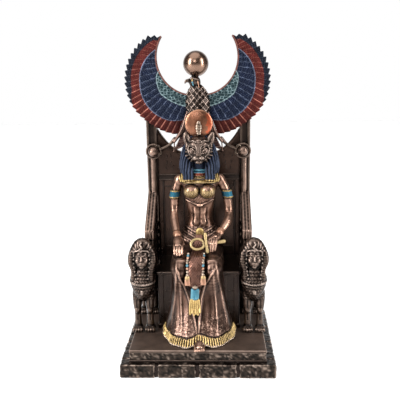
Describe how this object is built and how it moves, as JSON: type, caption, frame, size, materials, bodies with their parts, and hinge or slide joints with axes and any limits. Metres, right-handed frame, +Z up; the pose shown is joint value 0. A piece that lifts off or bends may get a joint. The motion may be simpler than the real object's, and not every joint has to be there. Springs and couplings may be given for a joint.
{
  "type": "statue",
  "caption": "Bronze-finish table statue of a lioness-headed goddess enthroned between sphinxes, under a falcon with raised painted wings, on a stone-block plinth",
  "frame": {"origin": "middle of the plinth's underside", "axes": "+Z up, +Y to the throne's back, +X to the viewer's right as it faces the viewer"},
  "size_m": [0.1282, 0.1118, 0.2736],
  "materials": {
    "plinth": "aged bronze, rough",
    "throne": "dark bronze, satin",
    "goddess": "rubbed warm bronze with painted trims",
    "falcon": "dark blue, red and teal paint over bronze",
    "sphinx": "dark bronze with rubbed edges"
  },
  "bodies": {
    "root": {"stone_plinth": "plinth", "throne": "throne", "goddess": "goddess", "falcon": "falcon", "sphinx_left": "sphinx", "sphinx_right": "sphinx"}
  },
  "joints": []
}
